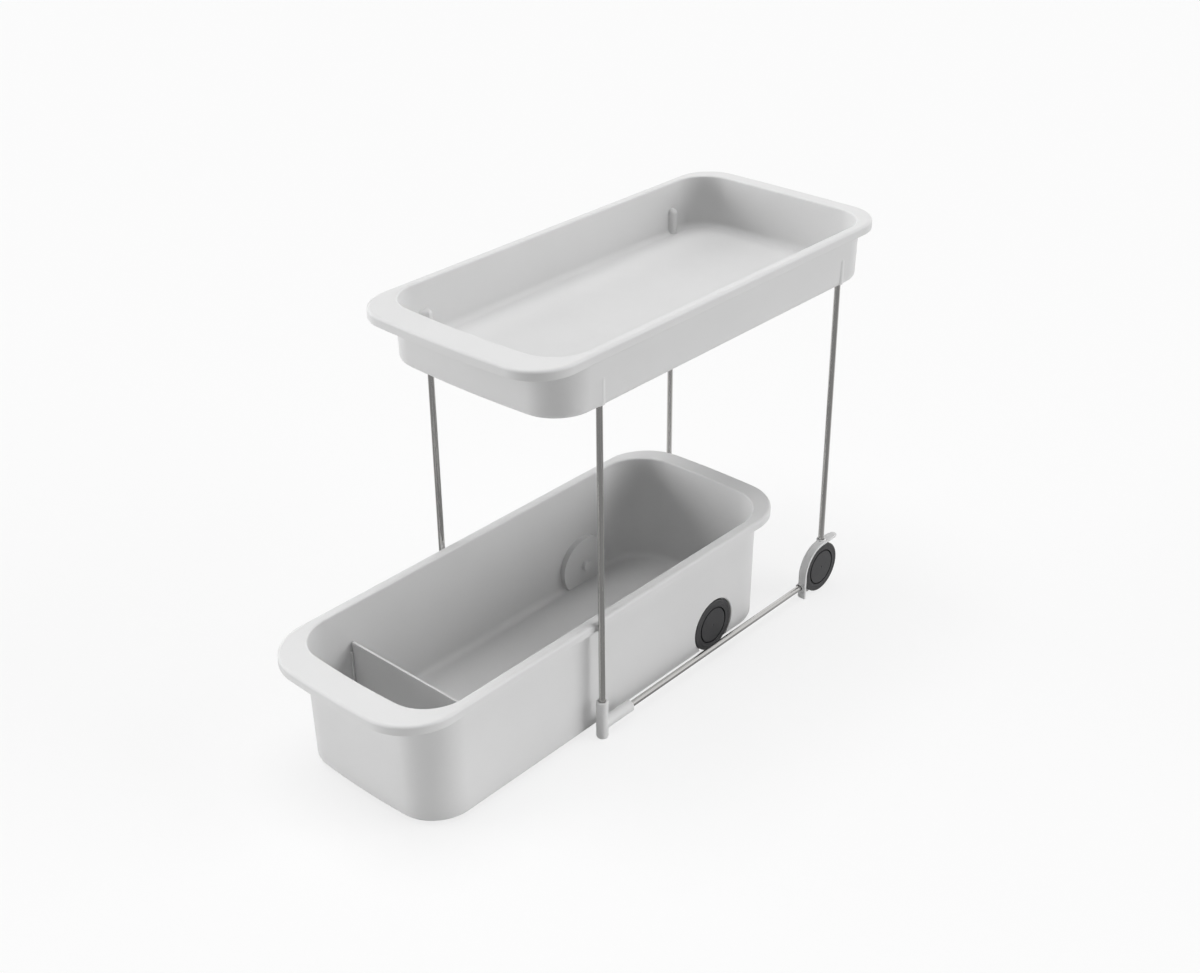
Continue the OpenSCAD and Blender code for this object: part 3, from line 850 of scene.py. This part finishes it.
def make_housings():
    """Plate behind each rear wheel with its mudguard, the seats of both rods and of the axle."""
    for side, name in ((-1, "left"), (1, "right")):
        node = f"rear_{name}_housing"
        low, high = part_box(node)
        face, out, wheel_r, _ = wheel_frame("rear_" + name)
        leg_low, leg_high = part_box(f"rear_{name}_leg")
        rail_low, rail_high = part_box(f"{name}_rail")
        leg, rod_r = (leg_low + leg_high) / 2, (leg_high.x - leg_low.x) / 2
        rail_z = (rail_low.z + rail_high.z) / 2
        plate_x = face.x - side * SIDE_GAP
        guard_x = (high.x if side > 0 else low.x) - side * GUARD_WIDTH
        in_r = wheel_r + GUARD_GAP
        out_r = in_r + GUARD
        plate_r = in_r + ROD_BITE
        tail_end = high.y - GUARD_WIDTH / 2

        def around(r):
            """Front and top of the guard at a radius, from the floor up to over the axle."""
            turn = [math.pi - a for a in quarter_turn(GUARD_STEPS)]
            bend = [(face.y + r * math.cos(a), face.z + r * math.sin(a)) for a in turn]
            return [(face.y - r, low.z)] + bend

        strip = (around(out_r) + [(tail_end, face.z + out_r), (tail_end, face.z + in_r)]
                 + list(reversed(around(in_r))))
        plate = around(plate_r) + [(tail_end, face.z + plate_r), (tail_end, face.z + in_r),
                                   (face.y + wheel_r * PLATE_TURN[0], face.z + wheel_r * PLATE_TURN[1]),
                                   (face.y + wheel_r * PLATE_WAIST, face.z),
                                   (face.y + wheel_r * PLATE_FOOT, low.z)]
        boss = rod_profile(BOSS_RADIUS, GUARD / 2 + BOSS_HEIGHT, EDGE_ROUND)
        housing = join("housing", [
            prism("strip", strip, "X", guard_x, guard_x + side * GUARD_WIDTH),
            revolve("tail", [(0, 0), (GUARD_WIDTH / 2, 0), (GUARD_WIDTH / 2, GUARD), (0, GUARD)],
                    (guard_x + side * GUARD_WIDTH / 2, tail_end, face.z + in_r), (0, 0, 1)),
            prism("plate", plate, "X", plate_x - side * PLATE, plate_x),
            revolve("axle_seat", rod_profile(PIN_RADIUS + PLATE, AXLE_SEAT, EDGE_ROUND),
                    (plate_x - side * AXLE_SEAT, face.y, face.z), out, ROD_STEPS),
            revolve("leg_boss", boss, (leg.x, leg.y, face.z + in_r + GUARD / 2), (0, 0, 1),
                    ROD_STEPS),
            revolve("rail_boss", boss, (leg.x, face.y - in_r - GUARD / 2, rail_z), (0, -1, 0),
                    ROD_STEPS)])
        melt(housing, VOXEL, 4)
        leg_mouth = face.z + out_r + BOSS_HEIGHT
        rail_mouth = face.y - out_r - BOSS_HEIGHT
        cut_or_join(housing, "DIFFERENCE", [
            rod_seat_cutter((leg.x, leg.y, leg_low.z - ROD_END_GAP), (leg.x, leg.y, leg_mouth),
                            (0, 0, 1), rod_r),
            rod_seat_cutter((leg.x, rail_high.y + ROD_END_GAP, rail_z), (leg.x, rail_mouth, rail_z),
                            (0, -1, 0), rod_r),
            revolve("pin_cut", rod_profile(PIN_RADIUS + PUSH_GAP, 2 * AXLE_SEAT, FINE_ROUND),
                    (plate_x - side * (2 * AXLE_SEAT - CUT_PAST), face.y, face.z), out, PIN_STEPS)])
        smooth_shading(housing)
        dress(housing, node, "frame", "light_grey_plastic")


# Wheels

def make_wheels():
    for wheel in WHEELS:
        face, out, wheel_r, width = wheel_frame(wheel)
        body = wheel + "_wheel"
        carrier = "bin" if wheel.startswith("bin") else "frame"
        hub_low, hub_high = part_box(wheel + "_hub")
        cap_low, cap_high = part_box(wheel + "_hub_cap")
        pin_low, pin_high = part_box(wheel + "_axle")
        hub_r = (hub_high.z - hub_low.z) / 2
        cap_r = (cap_high.z - cap_low.z) / 2
        head_r = (pin_high.z - pin_low.z) / 2
        cap_floor = width - CAP_THICKNESS
        head_floor = cap_floor - PIN_HEAD - 2 * PUSH_GAP

        line, half = hub_r + TYRE_LINE * (wheel_r - hub_r), TYRE_LINE_WIDTH
        shoulder = wheel_r - TYRE_ROUND
        tyre = revolve("tyre", [(hub_r + PUSH_GAP, 0)]
                       + quarter(shoulder, TYRE_ROUND, TYRE_ROUND, -90, 8)
                       + quarter(shoulder, width - TYRE_ROUND, TYRE_ROUND, 0, 8)
                       + [(line + 1.8 * half, width), (line + half, width - FINE_ROUND),
                          (line - half, width - FINE_ROUND), (line - 1.8 * half, width),
                          (hub_r + PUSH_GAP, width)], face, out, WHEEL_STEPS)
        recess = cap_r + GROOVE_WIDTH
        pocket = head_r + SIDE_GAP
        groove = width - GROOVE_DEPTH
        hub = revolve("hub", [(PIN_RADIUS + TURN_GAP, 0), (hub_r - FINE_ROUND, 0), (hub_r, FINE_ROUND)]
                      + quarter(hub_r - EDGE_ROUND, width - EDGE_ROUND, EDGE_ROUND, 0)
                      + [(recess + FINE_ROUND, width), (recess, width - FINE_ROUND), (recess, groove),
                         (cap_r, groove), (cap_r, cap_floor), (pocket, cap_floor), (pocket, head_floor),
                         (PIN_RADIUS + TURN_GAP, head_floor)], face, out, WHEEL_STEPS)
        cap = revolve("cap", [(0, cap_floor + PUSH_GAP), (cap_r, cap_floor + PUSH_GAP)]
                      + quarter(cap_r - CAP_ROUND, width - CAP_ROUND, CAP_ROUND, 0)
                      + [(radius, width - depth) for radius, depth in CAP_DIMPLE],
                      face, out, WHEEL_STEPS)
        seat = AXLE_SEAT + SIDE_GAP - PUSH_GAP
        neck, end = seat + head_floor + PUSH_GAP, seat + head_floor + PIN_HEAD
        pin = revolve("pin", [(0, 0), (PIN_RADIUS - CAP_ROUND, 0), (PIN_RADIUS, CAP_ROUND),
                              (PIN_RADIUS, neck), (head_r - FINE_ROUND, neck),
                              (head_r, neck + FINE_ROUND), (head_r, end - FINE_ROUND / 2),
                              (head_r - FINE_ROUND, end), (0, end)], face - seat * out, out,
                      ROD_STEPS)
        for piece, suffix, slot in ((tyre, "_tyre", "tyre_rubber"), (hub, "_hub", "charcoal_plastic"),
                                    (cap, "_hub_cap", "charcoal_plastic")):
            smooth_shading(piece)
            dress(piece, wheel + suffix, body, slot)
        smooth_shading(pin)
        dress(pin, wheel + "_axle", carrier, "pin_steel")


# Floor, world and lamps

def unlit(n, coords, near, far):
    """Strength of the pale studio in reflections, which falls towards its unlit side."""
    dot = n.add("VectorMath", operation="DOT_PRODUCT")
    dot.inputs[1].default_value = UNLIT_SIDE
    n.link(coords, dot.inputs[0])
    return remap(n, dot.outputs["Value"], 1, UNLIT_LEVEL, near, far)


def reflected(n, path):
    """Whether a ray is a reflection or comes through glass."""
    return n.math("MAXIMUM", path.outputs["Is Glossy Ray"], path.outputs["Is Transmission Ray"])


def mixed(n, factor, first, second):
    node = n.add("MixShader")
    if isinstance(factor, float):
        node.inputs[0].default_value = factor
    else:
        n.link(factor, node.inputs[0])
    n.link(first, node.inputs[1])
    n.link(second, node.inputs[2])
    return node.outputs[0]


def make_floor():
    """Pale floor. The camera sees it white with a faint shadow. The light that it throws back falls
    off beyond its pale patch."""
    bpy.ops.mesh.primitive_plane_add(size=12, location=(0, 0, 0))
    floor = bpy.context.object
    floor.name = "floor"
    material = bpy.data.materials.new("floor")
    material.use_nodes = True
    n = Nodes(material.node_tree)
    out = n.add("OutputMaterial")
    path = n.add("LightPath")
    camera = path.outputs["Is Camera Ray"]
    coords = n.add("TexCoord").outputs["Object"]
    pale = n.add("Emission")
    pale.inputs[0].default_value = (*(BACKGROUND,) * 3, 1)
    n.link(n.math("MAXIMUM", camera, unlit(n, coords, *FLOOR_FALL)), pale.inputs["Strength"])
    bounce = n.add("BsdfDiffuse")
    away = n.add("VectorMath", operation="LENGTH")
    n.link(coords, away.inputs[0])
    n.link(remap(n, away.outputs["Value"], FLOOR_BOUNCE, FAR_BOUNCE, *PALE_PATCH), bounce.inputs[0])
    white = n.add("BsdfDiffuse")
    white.inputs[0].default_value = (*(BACKGROUND,) * 3, 1)
    shown = mixed(n, FLOOR_GLOW, white.outputs[0], pale.outputs[0])
    lit = mixed(n, camera, bounce.outputs[0], shown)
    n.link(mixed(n, reflected(n, path), lit, pale.outputs[0]), out.inputs[0])
    floor.data.materials.append(material)


def make_world():
    world = bpy.data.worlds.new("studio")
    bpy.context.scene.world = world
    world.use_nodes = True
    n = Nodes(world.node_tree)
    out = n.add("OutputWorld")
    path = n.add("LightPath")
    camera = path.outputs["Is Camera Ray"]
    light = n.add("Background", Strength=SKY)
    light.inputs[0].default_value = (1, 1, 1, 1)
    pale = n.add("Background")
    pale.inputs[0].default_value = (*(BACKGROUND,) * 3, 1)
    coords = n.add("TexCoord").outputs["Generated"]
    n.link(n.math("MAXIMUM", camera, unlit(n, coords, *SKY_FALL)), pale.inputs["Strength"])
    seen = n.math("MAXIMUM", camera, reflected(n, path))
    n.link(mixed(n, seen, light.outputs[0], pale.outputs[0]), out.inputs[0])


def sun(name, azimuth, elevation, spread_angle, strength):
    """A soft lamp in a direction. A strength of 1 lights a white surface that faces it to white."""
    data = bpy.data.lights.new(name, "SUN")
    data.angle = math.radians(spread_angle)
    data.energy = strength * math.pi
    lamp = bpy.data.objects.new(name, data)
    bpy.context.scene.collection.objects.link(lamp)
    a, e = math.radians(azimuth), math.radians(elevation)
    towards = Vector((math.sin(a) * math.cos(e), -math.cos(a) * math.cos(e), math.sin(e)))
    lamp.rotation_euler = towards.to_track_quat("Z", "Y").to_euler()
    lamp.visible_glossy = False


def make_lights():
    sun("overhead", -100, 85, 50, 0.67)
    sun("front_left", -48, 10, 46, 0.84)
    sun("right_rear", 128, 18, 46, 0.6)


make_camera()
make_world()
make_floor()
make_lights()
make_tray()
make_bin()
make_divider()
make_rods()
make_feet()
make_housings()
make_wheels()

bpy.context.scene.view_settings.view_transform = "Standard"
